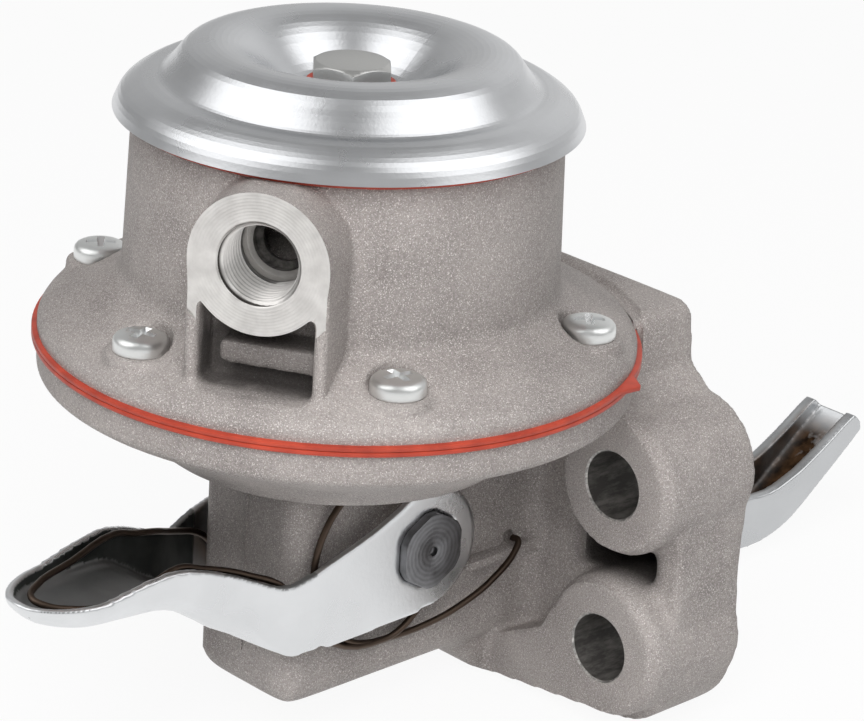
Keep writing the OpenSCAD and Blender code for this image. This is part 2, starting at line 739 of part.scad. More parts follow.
module rocker_arm() {
    low = smooth(arm_low(), 4);
    color("lightsteelblue") place() difference() {
        along_y(arm_w) arm_side();
        along_y(arm_w - arm_t) difference() {
            translate([pin_x - 20, -pin_drop - 30]) square([reach + 70, 60]);
            polygon(concat(low, [for (i = [len(low) - 1:-1:0]) low[i] + [-arm_t * 0.25, arm_t]]));
            arm_bridge();
        }
        y_cylinder(pin_x, -pin_drop, pin_r + pivot_gap, arm_w + 1);
        y_cylinder(reach + 75.6, -pin_drop + 1, 4.4, arm_w - arm_t * 0.5);
    }
}

module link_side() {
    translate([0, link_nose_z]) circle(link_nose_r);
    polygon([[0, link_nose_z - link_nose_r], [rod_head_r + 1, link_nose_z - link_nose_r],
        [pin_x, -pin_drop - link_eye_r], [pin_x, -pin_drop + link_eye_r],
        [shaft_x + 7, link_top - 0.4], [shaft_x + 3.6, link_top], [shaft_x - 3.6, link_top],
        [0, link_nose_z + 1.4]]);
    translate([pin_x, -pin_drop]) circle(link_eye_r);
}

module link_lever() {
    color("slategray") place() difference() {
        intersection() {
            along_y(cheek_w) link_side();
            translate([-4, -10, -60]) cube([60, 20, 60]);
        }
        translate([-10, -cheek_w + cheek_t, -60]) cube([21, 2 * (cheek_w - cheek_t), 40]);
        translate([16, -cheek_w + cheek_t, -60]) cube([21, 2 * (cheek_w - cheek_t), 40]);
        translate([-10, -10, link_top]) cube([40, 20, 10]);
        y_cylinder(pin_x, -pin_drop, pin_r + pivot_gap, arm_w + 1);
    }
}

module rocker_pin() {
    color("slategray") place() y_cylinder(pin_x, -pin_drop, pin_r, pin_half);
}

module pivot_washers() {
    color("silver") place() for (s = [-1, 1]) difference() {
        translate([pin_x, s > 0 ? cavity_w - 0.1 : -arm_w - 0.1, -pin_drop]) rotate([90, 0, 0])
            cylinder(r = 5.6, h = cavity_w - arm_w - 0.2);
        y_cylinder(pin_x, -pin_drop, pin_r + pivot_gap, 12);
    }
}

module pin_retainers() {
    fit = 0.05;
    side = [cavity_w, -cavity_w - pin_groove + fit];
    color("silver") place() for (y = side)
        translate([pin_x + pin_r + 0.1, y, -pin_drop - pin_r + fit])
            cube([6, pin_groove - fit, pin_d - 2 * fit]);
}

module rocker_spring() {
    low = -pin_drop - 5.1 + arm_wire_r + 0.1;
    high = arm_spring_top - arm_wire_r - 0.1;
    color("gray") place() translate([pin_x + arm_spring_x, 0, 0])
        wire(coil(arm_spring_r, low, high - low, 9, 14), arm_wire_r, 6);
}

// Priming shaft and lever

module shaft_end(s) {
    y0 = boss_face - 0.5;
    intersection() {
        translate([shaft_x, s > 0 ? shaft_half : -y0, -shaft_drop]) rotate([90, 0, 0]) rotate(30)
            cylinder(d = shaft_af / cos(30), h = shaft_half - y0, $fn = 6);
        y_cylinder(shaft_x, -shaft_drop, shaft_corner_d / 2, shaft_half);
    }
}

module priming_shaft() {
    color("dimgray") place() difference() {
        union() {
            for (s = [-1, 1]) {
                shaft_end(s);
                translate([shaft_x, s > 0 ? boss_face : -cam_w, -shaft_drop]) rotate([90, 0, 0])
                    cylinder(r = shaft_r, h = boss_face - cam_w);
            }
            difference() {
                y_cylinder(shaft_x, -shaft_drop, cam_r, cam_w + 0.5);
                translate([shaft_x - 10, -cam_w, -shaft_drop - cam_flat - 10]) cube([20, 2 * cam_w, 10]);
            }
        }
        for (s = [-1, 1]) translate([shaft_x, s * shaft_half, -shaft_drop]) rotate([s * 90, 0, 0])
            cylinder(r1 = 0.3, r2 = 1.2, h = 1, center = true);
    }
}

// The lever's outline seen from above, from one side round the tip of its nose to the other
function lever_nose() = [[-58.6, 2.4], [-57.2, 4.3], [-55.2, 6], [-52.4, 7.4], [-49.5, 8.1], [-45, 8.6],
    [-38.5, 9.2], [-33, 10], [-28, 10.3], [-24.8, 10.9], [-21.3, 12.6],
    [-18.5, lever_w - 0.6], [-15, lever_w]];
function lever_plan(t) = let (half = lever_nose(), end = lever_w - t,
    near = [for (i = [len(half) - 1:-1:0]) [half[i][0], -half[i][1]]])
    concat([[20, -end], [-14, -end]], inset(smooth(concat(near, [[-58.9, 0]], half), 3), t),
    [[-14, end], [20, end]]);

function lever_top() = [[2, -shaft_drop + 8.2], [-4, -26], [-12, -28.5], [-17, -30.1], [-20, -30.8],
    [-23.2, -29.7], [-27.8, -27.7], [-31.4, -26.3], [-35.5, -25.2], [-38.5, -25], [-42.7, -25.4],
    [-46.1, -26], [-50, -26.5], [-60, -26.3]];
function lever_low() = [[-60, -28.4], [-55, -29.3], [-50.5, -29.8], [-44, -29.9], [-37.4, -30.4],
    [-32.8, -32.8], [-29, -35.5], [-23, -39.7], [-19.4, -41.9]];

module lever_side() {
    polygon(concat(smooth(lever_top(), 3), smooth(lever_low(), 3),
        [[-18.4, -42.1], [-13.4, -41.6], [-12, -42.3], [shaft_x - 1, -shaft_drop - lever_end_r - 0.4],
        [shaft_x, -shaft_drop]]));
    translate([shaft_x, -shaft_drop]) circle(lever_end_r);
}

module lever_floor() {
    low = smooth(lever_low(), 3);
    polygon(concat(low, [for (i = [len(low) - 1:-1:0]) low[i] + [0.3, lever_t]]));
}

module priming_lever() {
    color("lightsteelblue") place() difference() {
        union() {
            intersection() {
                translate([0, 0, -60]) linear_extrude(60) difference() {
                    polygon(lever_plan(0));
                    polygon(lever_plan(lever_t));
                }
                along_y(lever_w + 1) lever_side();
            }
            intersection() {
                translate([0, 0, -60]) linear_extrude(60) polygon(lever_plan(lever_t / 2));
                along_y(lever_w + 1) lever_floor();
            }
        }
        for (s = [-1, 1]) intersection() {
            y_cylinder(shaft_x, -shaft_drop, shaft_corner_d / 2 + 0.05, lever_w + 1);
            translate([shaft_x, lever_w + 1, -shaft_drop]) rotate([90, 0, 0]) rotate(30)
                cylinder(d = (shaft_af + 0.1) / cos(30), h = 2 * lever_w + 2, $fn = 6);
        }
    }
}

// The return spring: a turn round each side of the housing and one loop in the lever's nose
turn_x = 2;
turn_z = -31.6;
turn_r = 15.2;
turn_rise = 14.6;
function spring_half() = concat(
    [[28.5, house_w + 0.6, -pin_drop + 3.4], [28.5, house_w + 2.6, -pin_drop + 3.4],
    [28, house_w + 3.1, -pin_drop + 1.6], [23.5, house_w + 3, -41.4], [17, 13, -44.2], [10.5, 12, -46.2]],
    [for (a = [-90:-15:-450]) [turn_x + turn_r * cos(a), house_w + 1.1 - 0.1 * (a + 90) / 360,
        turn_z + turn_rise * sin(a)]],
    [[-9.5, house_w + 1.6, -43], [-16.5, house_w + 1.4, -34.5], [-19.5, 11.2, -31.1], [-23.4, 9.1, -29.4],
    [-26.5, 8.2, -28.2], [-31.4, 7.4, -26.7], [-35.3, 7.2, -25.6], [-45, 4.8, -26.2], [-54, 2, -26.7],
    [-55, 1, -26.7]]);

module lever_return_spring() {
    half_path = spring_half();
    path = concat(half_path, [for (i = [len(half_path) - 1:-1:0])
        [half_path[i][0], -half_path[i][1], half_path[i][2]]]);
    color("saddlebrown") place() wire(path, wire_r, 8);
}

cover();
cover_bolt();
bolt_seal_washer();
cover_gasket();
strainer();
upper_body();
inlet_valve_seat();
inlet_valve_disc();
inlet_valve_spring();
inlet_valve_cage();
outlet_valve_seat();
outlet_valve_disc();
outlet_valve_spring();
outlet_valve_cage();
flange_screws();
diaphragm();
diaphragm_backing();
upper_plate();
lower_plate();
pull_rod();
diaphragm_spring();
rod_seal();
seal_retainer();
lower_body();
rocker_arm();
link_lever();
rocker_pin();
pivot_washers();
pin_retainers();
rocker_spring();
priming_shaft();
priming_lever();
lever_return_spring();
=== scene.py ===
import math

import bpy
from mathutils import Euler, Matrix, Vector


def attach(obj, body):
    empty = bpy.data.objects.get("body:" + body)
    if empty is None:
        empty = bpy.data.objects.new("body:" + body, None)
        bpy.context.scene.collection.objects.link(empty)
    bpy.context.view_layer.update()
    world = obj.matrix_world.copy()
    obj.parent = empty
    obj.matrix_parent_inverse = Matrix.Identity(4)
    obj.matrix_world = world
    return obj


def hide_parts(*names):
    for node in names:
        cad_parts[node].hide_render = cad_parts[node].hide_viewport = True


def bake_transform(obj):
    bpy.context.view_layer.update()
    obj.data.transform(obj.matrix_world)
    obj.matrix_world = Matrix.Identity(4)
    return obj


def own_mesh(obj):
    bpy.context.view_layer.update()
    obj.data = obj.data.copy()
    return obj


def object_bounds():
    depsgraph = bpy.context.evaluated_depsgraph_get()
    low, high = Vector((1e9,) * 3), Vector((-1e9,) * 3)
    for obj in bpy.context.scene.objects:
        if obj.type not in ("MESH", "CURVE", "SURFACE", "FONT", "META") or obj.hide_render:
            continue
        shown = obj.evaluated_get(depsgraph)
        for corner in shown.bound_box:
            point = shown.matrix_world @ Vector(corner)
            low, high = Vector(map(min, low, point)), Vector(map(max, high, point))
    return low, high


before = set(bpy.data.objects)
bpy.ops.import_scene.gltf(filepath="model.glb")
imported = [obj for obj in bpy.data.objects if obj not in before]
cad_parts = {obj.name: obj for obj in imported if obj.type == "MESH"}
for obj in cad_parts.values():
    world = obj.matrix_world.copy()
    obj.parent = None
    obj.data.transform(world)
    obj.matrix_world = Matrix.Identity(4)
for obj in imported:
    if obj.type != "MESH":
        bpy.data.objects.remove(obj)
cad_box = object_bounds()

# Camera and studio
# The camera stands where the photograph's did, half left of the pump and a little above it, with the
# slight roll of a hand-levelled tripod. A long lens keeps the perspective flat.
MM = 0.001
CAMERA_PLACE = Vector((-373.2, -345.4, 217.1)) * MM
CAMERA_AZIMUTH = math.radians(-44.975)
CAMERA_ELEVATION = math.radians(21.471)
CAMERA_ROLL = math.radians(3.675)
CAMERA_LENS = 144.08

camera = bpy.data.objects.new("camera", bpy.data.cameras.new("camera"))
bpy.context.collection.objects.link(camera)
camera.data.sensor_width = 36.0
camera.data.lens = CAMERA_LENS
back = Vector((math.sin(CAMERA_AZIMUTH) * math.cos(CAMERA_ELEVATION),
               -math.cos(CAMERA_AZIMUTH) * math.cos(CAMERA_ELEVATION),
               math.sin(CAMERA_ELEVATION)))
level = (-back).cross(Vector((0, 0, 1))).normalized()
upright = level.cross(-back).normalized()
right = level * math.cos(CAMERA_ROLL) + upright * math.sin(CAMERA_ROLL)
up = upright * math.cos(CAMERA_ROLL) - level * math.sin(CAMERA_ROLL)
camera.matrix_world = Matrix((
    (right.x, up.x, back.x, CAMERA_PLACE.x),
    (right.y, up.y, back.y, CAMERA_PLACE.y),
    (right.z, up.z, back.z, CAMERA_PLACE.z),
    (0, 0, 0, 1)))
bpy.context.scene.camera = camera
bpy.context.scene.view_settings.view_transform = "Standard"


def new_material(name):
    """A material with its node tree, its Principled shader and a place for Object coordinates."""
    material = bpy.data.materials.new(name)
    material.use_nodes = True
    tree = material.node_tree
    shader = tree.nodes["Principled BSDF"]
    place = tree.nodes.new("ShaderNodeTexCoord")
    return material, tree, shader, place.outputs["Object"]


def noise(tree, place, scale, detail=2.0, roughness=0.5, stretch=(1, 1, 1)):
    """Cloudy noise on Object coordinates, stretched along an axis where the grain runs."""
    mapping = tree.nodes.new("ShaderNodeMapping")
    mapping.inputs["Scale"].default_value = stretch
    tree.links.new(place, mapping.inputs["Vector"])
    texture = tree.nodes.new("ShaderNodeTexNoise")
    texture.inputs["Scale"].default_value = scale
    texture.inputs["Detail"].default_value = detail
    texture.inputs["Roughness"].default_value = roughness
    tree.links.new(mapping.outputs["Vector"], texture.inputs["Vector"])
    return texture.outputs["Fac"]


def spread(tree, value, low, high, to_low=0.0, to_high=1.0):
    """Stretches the useful part of a texture's value over a new range."""
    node = tree.nodes.new("ShaderNodeMapRange")
    node.inputs["From Min"].default_value = low
    node.inputs["From Max"].default_value = high
    node.inputs["To Min"].default_value = to_low
    node.inputs["To Max"].default_value = to_high
    tree.links.new(value, node.inputs["Value"])
    return node.outputs["Result"]


def two_tone(tree, value, dark, light):
    """Mixes two colours, or two textures' colours, by a texture's value."""
    blend = tree.nodes.new("ShaderNodeMix")
    blend.data_type = "RGBA"
    for socket, colour in (("A", dark), ("B", light)):
        if isinstance(colour, tuple):
            blend.inputs[socket].default_value = (*colour, 1)
        else:
            tree.links.new(colour, blend.inputs[socket])
    tree.links.new(value, blend.inputs["Factor"])
    return blend.outputs["Result"]


def combine(tree, operation, first, second):
    """One step of arithmetic on texture values."""
    node = tree.nodes.new("ShaderNodeMath")
    node.operation = operation
    for socket, value in ((0, first), (1, second)):
        if isinstance(value, (int, float)):
            node.inputs[socket].default_value = value
        else:
            tree.links.new(value, node.inputs[socket])
    return node.outputs[0]


def bump(tree, height, depth, strength=1.0, under=None):
    """Turns a height into a small relief, depth metres deep."""
    node = tree.nodes.new("ShaderNodeBump")
    node.inputs["Strength"].default_value = strength
    node.inputs["Distance"].default_value = depth
    tree.links.new(height, node.inputs["Height"])
    if under is not None:
        tree.links.new(under, node.inputs["Normal"])
    return node.outputs["Normal"]


# The world is white to the camera and dim to the object's shading. Gloss sees the tent round the
# table: grey overhead and behind the object, with two bright panels high on the left and the right.
world = bpy.data.worlds.new("studio")
bpy.context.scene.world = world
world.use_nodes = True
tree = world.node_tree
ray = tree.nodes.new("ShaderNodeLightPath")
toward = tree.nodes.new("ShaderNodeTexCoord").outputs["Generated"]
TENT_GREY = 0.42
TENT_PANELS = (((0.33, -0.60, 0.73), 0.83, 0.90, 1.65), ((-0.60, 0.33, 0.73), 0.83, 0.90, 1.65),
               ((0.95, 0.15, 0.27), 0.75, 0.98, 0.35), ((0.68, 0.68, 0.30), 0.70, 1.00, 0.25),
               ((-0.60, -0.75, 0.25), 0.80, 0.98, 0.25))
ROOM_LIGHT = 0.07
tent = TENT_GREY
for direction, start, end, gain in TENT_PANELS:
    facing = tree.nodes.new("ShaderNodeVectorMath")
    facing.operation = "DOT_PRODUCT"
    facing.inputs[1].default_value = direction
    tree.links.new(toward, facing.inputs[0])
    tent = combine(tree, "ADD", spread(tree, facing.outputs["Value"], start, end, 0, gain), tent)
view = tree.nodes["Background"]
view.inputs["Color"].default_value = (1, 1, 1, 1)
view.inputs["Strength"].default_value = ROOM_LIGHT
for output, strength in (("Is Glossy Ray", tent), ("Is Transmission Ray", 1.0), ("Is Camera Ray", 1.0)):
    backdrop = tree.nodes.new("ShaderNodeBackground")
    if isinstance(strength, float):
        backdrop.inputs["Strength"].default_value = strength
    else:
        tree.links.new(strength, backdrop.inputs["Strength"])
    choose = tree.nodes.new("ShaderNodeMixShader")
    tree.links.new(ray.outputs[output], choose.inputs[0])
    tree.links.new(view.outputs[0], choose.inputs[1])
    tree.links.new(backdrop.outputs[0], choose.inputs[2])
    view = choose
tree.links.new(view.outputs[0], tree.nodes["World Output"].inputs["Surface"])

# The floor lies under the pump's foot. Most of its white is its own, so that the shadow stays soft.
FLOOR_HALF = 4.0
FLOOR_GAP = 0.0005
PAPER_GLOW = 0.93
bpy.ops.mesh.primitive_plane_add(size=2 * FLOOR_HALF, location=(0, 0, cad_box[0][2] - FLOOR_GAP))
floor = bpy.context.object
floor.name = "floor"
floor_material, tree, shader, place = new_material("floor_paper")
shader.inputs["Roughness"].default_value = 0.9
tree.links.new(two_tone(tree, noise(tree, place, 40), (0.80, 0.80, 0.80), (0.84, 0.84, 0.84)),
               shader.inputs["Base Color"])
glow = tree.nodes.new("ShaderNodeEmission")
glow.inputs["Strength"].default_value = 1.0
ray = tree.nodes.new("ShaderNodeLightPath")
share = combine(tree, "MAXIMUM", ray.outputs["Is Camera Ray"], ray.outputs["Is Glossy Ray"])
mix = tree.nodes.new("ShaderNodeMixShader")
tree.links.new(combine(tree, "MULTIPLY", share, PAPER_GLOW), mix.inputs[0])
tree.links.new(shader.outputs[0], mix.inputs[1])
tree.links.new(glow.outputs[0], mix.inputs[2])
tree.links.new(mix.outputs[0], tree.nodes["Material Output"].inputs["Surface"])
floor.data.materials.append(floor_material)

# Softboxes stand round the pump, each aimed at its middle. Gloss shows the tent and not the lamps.
AIM = Vector((-0.045, 0, 0.02))
for name, azimuth, elevation, distance, width, height, watts in (
        ("key", -50, 44, 0.85, 0.60, 0.60, 8.0),
        ("front", -10, 18, 0.90, 0.45, 0.80, 0.8),
        ("top", -40, 84, 0.85, 0.70, 0.70, 1.2),
        ("rim", 125, 35, 0.85, 0.70, 0.50, 0.8)):
    a, e = math.radians(azimuth), math.radians(elevation)
    lamp = bpy.data.lights.new(name, "AREA")
    lamp.shape = "RECTANGLE"
    lamp.size = width
    lamp.size_y = height
    lamp.energy = watts
    softbox = bpy.data.objects.new(name, lamp)
    bpy.context.collection.objects.link(softbox)
    away = Vector((math.sin(a) * math.cos(e), -math.cos(a) * math.cos(e), math.sin(e)))
    softbox.location = AIM + away * distance
    softbox.visible_glossy = False
    softbox.rotation_euler = away.to_track_quat("Z", "Y").to_euler()


# Lower body
# An aluminium die casting with the spring bowl, the rocker housing and the mounting flange. It is shot
# blasted all over, then faced at both joints and bored for the shaft and the engine's studs.
REACH = 48.0
DROP = 34.0
FLANGE_R = 44.0
SHEET_T = 0.75
HOLES = [(s * 31.3, z) for s in (-1, 1) for z in (-20.6, -47.4)]
HOLE_R = 5.25
BOSS_X = 28.0
SHAFT_X = 7.2
SHAFT_Z = -31.5
SHAFT_BORE_R = 6.33
SHAFT_BOSS_FACE = 12.9
SHAFT_BOSS_R = 6.9
CAVITY_W = 7.0
EAR_R = 11.2
BLOCK_W = 27.3
BLOCK_TOP = 3.0


def at(x, y, z):
    """A point given in millimetres from the middle of the diaphragm, in the scene's metres."""
    return Vector((x - REACH, y, z + DROP)) * MM


def pick(piece):
    """Makes a piece the only one selected, and the active one."""
    bpy.ops.object.select_all(action="DESELECT")
    piece.select_set(True)
    bpy.context.view_layer.objects.active = piece


def settle(piece):
    """Puts a primitive's place, turn and size into its mesh."""
    pick(piece)
    bpy.ops.object.transform_apply(location=True, rotation=True, scale=True)
    return piece


def round_bar(start, end, radius, end_radius=None, sides=96):
    """A round plug or cutter from one point to another, straight or tapered."""
    run = end - start
    bpy.ops.object.select_all(action="DESELECT")
    bpy.ops.mesh.primitive_cone_add(vertices=sides, radius1=radius * MM, radius2=(end_radius or radius) * MM,
                                    depth=run.length, location=(start + end) / 2,
                                    rotation=run.to_track_quat("Z", "Y").to_euler())
    return settle(bpy.context.object)


def block(low, high):
    """A square plug or cutter between two corners."""
    bpy.ops.object.select_all(action="DESELECT")
    bpy.ops.mesh.primitive_cube_add(size=1, location=(low + high) / 2)
    bpy.context.object.scale = high - low
    return settle(bpy.context.object)


def pattern(node, name):
    """A new piece with a CAD node's shape, its loose triangles merged."""
    piece = bpy.data.objects.new(name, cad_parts[node].data.copy())
    bpy.context.collection.objects.link(piece)
    piece.data.materials.clear()
    pick(piece)
    bpy.ops.object.mode_set(mode="EDIT")
    bpy.ops.mesh.select_all(action="SELECT")
    bpy.ops.mesh.customdata_custom_splitnormals_clear()
    bpy.ops.mesh.remove_doubles(threshold=MM * 0.001)
    bpy.ops.object.mode_set(mode="OBJECT")
    return piece


def weld_on(piece, extras):
    """Joins closed shapes to a pattern before it is cast."""
    for extra in extras:
        pick(piece)
        extra.select_set(True)
        bpy.ops.object.join()


def cast(piece, grain, passes, most=170000):
    """Rounds every edge as a mould does: a fine even skin, smoothed, and thinned where it is dense."""
    pick(piece)
    skin = piece.modifiers.new("skin", "REMESH")
    skin.mode = "VOXEL"
    skin.voxel_size = grain * MM
    skin.use_smooth_shade = True
    bpy.ops.object.modifier_apply(modifier="skin")
    soft = piece.modifiers.new("soft", "SMOOTH")
    soft.factor = 0.5
    soft.iterations = passes
    bpy.ops.object.modifier_apply(modifier="soft")
    count = sum(len(face.vertices) - 2 for face in piece.data.polygons)
    if count > most:
        thin = piece.modifiers.new("thin", "DECIMATE")
        thin.ratio = most / count
        bpy.ops.object.modifier_apply(modifier="thin")


def relax(piece, passes, rule):
    """Wears one region of a casting rounder than the rest."""
    group = piece.vertex_groups.new(name="worn")
    worn = [point.index for point in piece.data.vertices if rule(point.co)]
    group.add(worn, 1.0, "REPLACE")
    pick(piece)
    round_off = piece.modifiers.new("round_off", "SMOOTH")
    round_off.factor = 0.5
    round_off.iterations = passes
    round_off.vertex_group = "worn"
    bpy.ops.object.modifier_apply(modifier="round_off")
    piece.vertex_groups.clear()


def lathe(profile, middle, name):
    """Spins a closed outline, given as radius and height in millimetres, about an upright axis."""
    mesh = bpy.data.meshes.new(name)
    edges = [(i, (i + 1) % len(profile)) for i in range(len(profile))]
    mesh.from_pydata([(r * MM, 0, z * MM) for r, z in profile], edges, [])
    piece = bpy.data.objects.new(name, mesh)
    bpy.context.collection.objects.link(piece)
    pick(piece)
    spin = piece.modifiers.new("spin", "SCREW")
    spin.steps = 96
    spin.render_steps = 96
    spin.use_merge_vertices = True
    spin.merge_threshold = MM * 0.002
    bpy.ops.object.modifier_apply(modifier="spin")
    bpy.ops.object.mode_set(mode="EDIT")
    bpy.ops.mesh.select_all(action="SELECT")
    bpy.ops.mesh.remove_doubles(threshold=MM * 0.002)
    bpy.ops.mesh.dissolve_degenerate(threshold=MM * 0.002)
    bpy.ops.mesh.normals_make_consistent(inside=False)
    bpy.ops.object.mode_set(mode="OBJECT")
    piece.location = middle
    return settle(piece)


def machine(piece, tool, finish, operation="DIFFERENCE"):
    """Cuts a piece with a tool, or adds the tool to it. The new faces take the finish, where one is given."""
    if finish is not None:
        if finish.name not in piece.data.materials:
            piece.data.materials.append(finish)
        tool.data.materials.clear()
        for material in piece.data.materials:
            tool.data.materials.append(material)
        slot = piece.data.materials.find(finish.name)
        for face in tool.data.polygons:
            face.material_index = slot
    for face in tool.data.polygons:
        face.use_smooth = True
    pick(piece)
    cut = piece.modifiers.new("cut", "BOOLEAN")
    cut.object = tool
    cut.operation = operation
    cut.solver = "MANIFOLD"
    bpy.ops.object.modifier_apply(modifier="cut")
    bpy.data.objects.remove(tool)


def crisp(piece, degrees=32):
    """Shades a piece smooth and keeps its machined edges sharp."""
    pick(piece)
    bpy.ops.object.shade_smooth_by_angle(angle=math.radians(degrees))


def take_place(piece, node, body="housing"):
    """The piece stands for a CAD node and moves with the node's body."""
    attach(piece, body)
    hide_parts(node)


def paint_shade(piece, rule):
    """Writes painted shade for each point, from 0 to 1, by how deep it lies in a pocket."""
    value = piece.data.attributes.new("painted_shade", "FLOAT", "POINT")
    for point, entry in zip(piece.data.vertices, value.data):
        entry.value = rule(point.co / MM + Vector((REACH, 0, -DROP)))


def shade_between_ears(p):
    """Painted shade in the pocket between the two ears of a side, darkest at its bottom."""
    across = min(1.0, max(0.0, (38.5 - abs(p.y)) / 3), max(0.0, (abs(p.y) - 19) / 3))
    upward = min(1.0, max(0.0, (4.9 - abs(p.z + 34.2)) / 1.6))
    return 0.92 * min(1.0, max(0.0, (p.x - 31) / 4)) * across * upward


def blasted_alloy():
    """Shot-blasted aluminium: a warm grey of fine dimples, some painted bright as glints, clouded a little.
    It is painted darker, as shade, where a casting's own value says that a point lies deep in a pocket."""
    material, tree, shader, place = new_material("blasted_alloy")
    cloud = noise(tree, place, 60, 3, 0.6)
    grain = noise(tree, place, 2600, 2, 0.7)
    fine = noise(tree, place, 5400, 1, 0.6)
    tone = combine(tree, "ADD", spread(tree, grain, 0.25, 0.75, 0, 0.55),
                   spread(tree, cloud, 0.3, 0.7, 0, 0.45))
    colour = two_tone(tree, tone, (0.20, 0.179, 0.170), (0.48, 0.440, 0.420))
    # Painted glints: specks of the fine noise turned near white.
    painted_glint = spread(tree, fine, 0.58, 0.70)
    colour = two_tone(tree, painted_glint, colour, (0.72, 0.68, 0.66))
    # Painted shade: the colour goes nearly black where the casting's own pocket value is high.
    painted_shade = tree.nodes.new("ShaderNodeAttribute")
    painted_shade.attribute_name = "painted_shade"
    colour = two_tone(tree, painted_shade.outputs["Fac"], colour, (0.045, 0.040, 0.037))
    tree.links.new(colour, shader.inputs["Base Color"])
    shader.inputs["Metallic"].default_value = 0.18
    shader.inputs["Specular IOR Level"].default_value = 0.35
    tree.links.new(spread(tree, grain, 0.3, 0.7, 0.66, 0.48), shader.inputs["Roughness"])
    relief = bump(tree, grain, 0.00022, 0.8)
    relief = bump(tree, fine, 0.00012, 0.8, relief)
    tree.links.new(relief, shader.inputs["Normal"])
    return material


def turned_alloy(name, middle, turn, crest=0.0):
    """Bright aluminium straight from the tool, with fine rings about the tool's axis. In a thread the roots
    are painted dark as shade, and the colour goes by how far a point lies from the axis."""
    material, tree, shader, place = new_material(name)
    centre = tree.nodes.new("ShaderNodeMapping")
    centre.vector_type = "TEXTURE"
    centre.inputs["Location"].default_value = middle
    centre.inputs["Rotation"].default_value = (0, 0, turn)
    tree.links.new(place, centre.inputs["Vector"])
    rings = tree.nodes.new("ShaderNodeTexWave")
    rings.wave_type = "RINGS"
    rings.rings_direction = "X"
    rings.inputs["Scale"].default_value = 700
    rings.inputs["Distortion"].default_value = 0.6
    tree.links.new(centre.outputs[0], rings.inputs["Vector"])
    cloud = noise(tree, place, 400, 3)
    colour = two_tone(tree, spread(tree, cloud, 0.3, 0.7), (0.62, 0.600, 0.58), (0.82, 0.80, 0.775))
    if crest:
        flat = tree.nodes.new("ShaderNodeVectorMath")
        flat.operation = "MULTIPLY"
        flat.inputs[1].default_value = (0, 1, 1)
        tree.links.new(centre.outputs[0], flat.inputs[0])
        away = tree.nodes.new("ShaderNodeVectorMath")
        away.operation = "LENGTH"
        tree.links.new(flat.outputs[0], away.inputs[0])
        # Painted shade in the thread's roots: dark beyond the crest's radius.
        colour = two_tone(tree, spread(tree, away.outputs["Value"], (crest + 0.22) * MM, (crest + 0.52) * MM),
                          colour, (0.055, 0.05, 0.046))
    tree.links.new(colour, shader.inputs["Base Color"])
    shader.inputs["Metallic"].default_value = 0.9
    tree.links.new(spread(tree, cloud, 0.3, 0.7, 0.30, 0.44), shader.inputs["Roughness"])
    tree.links.new(bump(tree, rings.outputs["Fac"], 0.00003, 0.7), shader.inputs["Normal"])
    return material


def drilled_alloy(name, tint, patches, depth):
    """Aluminium as the drill leaves it: dull, streaked along the bore, torn a little at its mouth."""
    material, tree, shader, place = new_material(name)
    streak = noise(tree, place, patches, 4, 0.7, (0.3, 1, 1))
    light = tuple(min(1.0, c * 2.4) for c in tint)
    tree.links.new(two_tone(tree, spread(tree, streak, 0.42, 0.62), tint, light), shader.inputs["Base Color"])
    shader.inputs["Metallic"].default_value = 0.6
    tree.links.new(spread(tree, streak, 0.3, 0.7, 0.5, 0.35), shader.inputs["Roughness"])
    tree.links.new(bump(tree, streak, depth, 0.8), shader.inputs["Normal"])
    return material


alloy = blasted_alloy()
# The bores' dark tint is painted shade inside the holes; the torn mouths keep a lighter tint of their own.
bored = drilled_alloy("bored_alloy_painted_shade", (0.11, 0.104, 0.098), 500, 0.0001)
burr = drilled_alloy("torn_alloy", (0.26, 0.25, 0.24), 900, 0.0004)
milled = turned_alloy("milled_alloy", at(REACH, 0, -DROP), 0)

lower = pattern("lower_body", "lower_body_casting")
lower.data.materials.append(alloy)
plugs = []
for s in (-1, 1):
    near = min(s * 22, s * 36)
    machine(lower, block(at(32.5, near, -37.5), at(43, near + 14, -30.5)), None)
for y, z in HOLES:
    plugs.append(round_bar(at(BOSS_X, y, z), at(BOSS_X + 1.6, y, z), EAR_R - 1.6, EAR_R))
    plugs.append(round_bar(at(BOSS_X + 1.6, y, z), at(REACH, y, z), EAR_R))
for s in (-1, 1):
    plugs.append(round_bar(at(SHAFT_X, s * CAVITY_W, SHAFT_Z), at(SHAFT_X, s * SHAFT_BOSS_FACE, SHAFT_Z),
                           SHAFT_BOSS_R))
plugs.append(lathe([(35, -2), (FLANGE_R, -2), (FLANGE_R, 1.5), (35, 1.5)], at(0, 0, 0), "rim"))
plugs.append(lathe([(34.9, -10.1), (40.8, -7.1), (40.8, -5.8), (34.9, -7.9)], at(0, 0, 0), "cone"))
plugs.append(block(at(34, -BLOCK_W + 1.5, -7), at(REACH - 1, BLOCK_W - 1.5, BLOCK_TOP - 1.2)))
weld_on(lower, plugs)
cast(lower, grain=0.55, passes=3)
low, ahead = at(0, 0, -50.5).z, at(24, 0, 0).x
relax(lower, 45, lambda p: p.z < low and p.x < ahead)
inner, outer, below, above = 24 * MM, 41.5 * MM, at(0, 0, -39).z, at(0, 0, -29.5).z
relax(lower, 25, lambda p: inner < abs(p.y) < outer and below < p.z < above and p.x > at(31, 0, 0).x)
relax(lower, 18, lambda p: p.x > at(REACH - 3.5, 0, 0).x)
machine(lower, round_bar(at(0, 0, -SHEET_T), at(0, 0, SHEET_T), FLANGE_R + 0.9, sides=192), milled)
machine(lower, round_bar(at(0, 0, -SHEET_T + 0.1), at(0, 0, 12), FLANGE_R + 0.3, sides=192), milled)
machine(lower, block(at(REACH - 0.12, -60, -70), at(REACH + 3, 60, 8)), milled)
